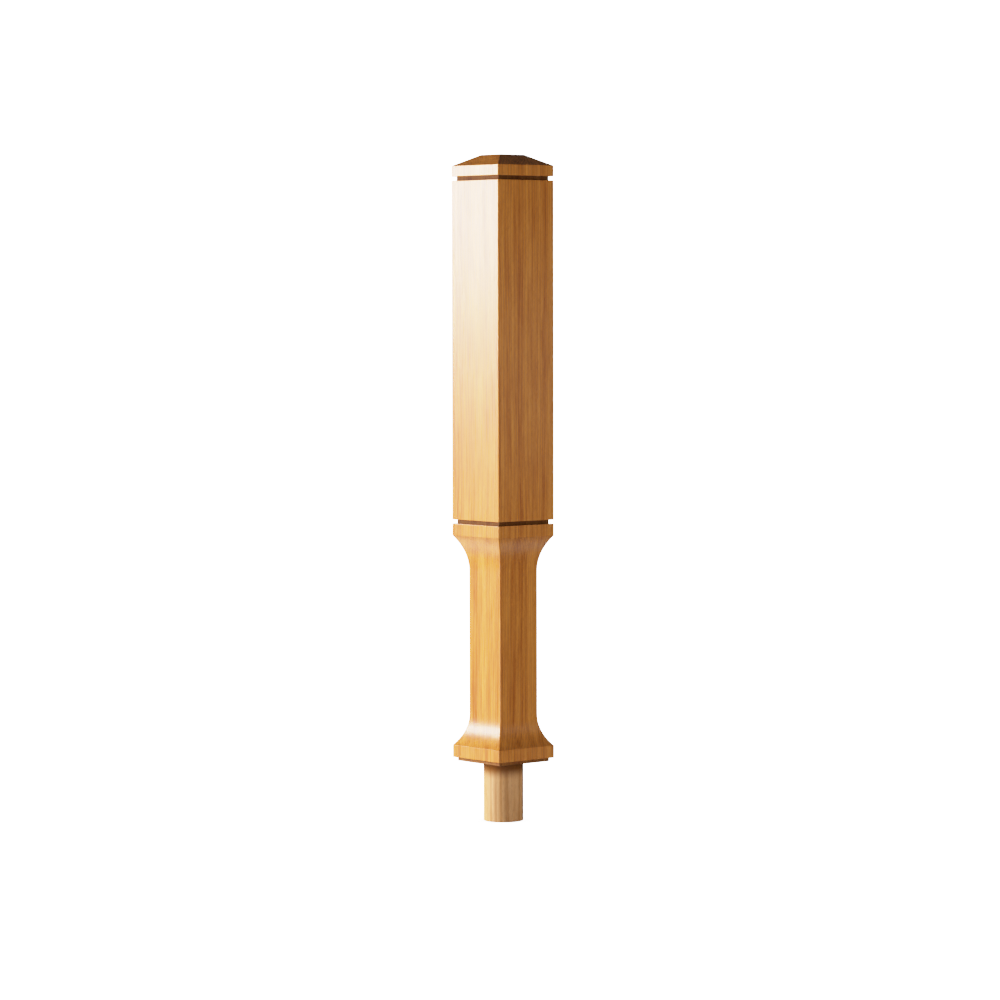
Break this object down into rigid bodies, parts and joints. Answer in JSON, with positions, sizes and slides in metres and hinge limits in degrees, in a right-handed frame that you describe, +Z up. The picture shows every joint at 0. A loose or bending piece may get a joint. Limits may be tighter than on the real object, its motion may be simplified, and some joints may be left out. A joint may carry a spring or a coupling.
{
  "type": "newel post",
  "caption": "Square timber newel post: hipped cap, long grooved block, slimmer shaft between coves, rebated foot and a round spigot below.",
  "frame": {"origin": "centre of the spigot's flat lower end, which is the lowest point of the post", "axes": "+Z up the post's axis from the spigot to the cap; X and Y square to the post's four faces"},
  "size_m": [0.091, 0.091, 0.837],
  "materials": {
    "lacquered_timber": "laminated hardwood, straight fine grain along the post, golden brown under a clear satin lacquer",
    "bare_timber": "turned hardwood dowel, pale, sanded and left bare and matt for glue"
  },
  "bodies": {
    "root": {"newel_post": "lacquered_timber", "dowel_spigot": "bare_timber"}
  },
  "joints": []
}
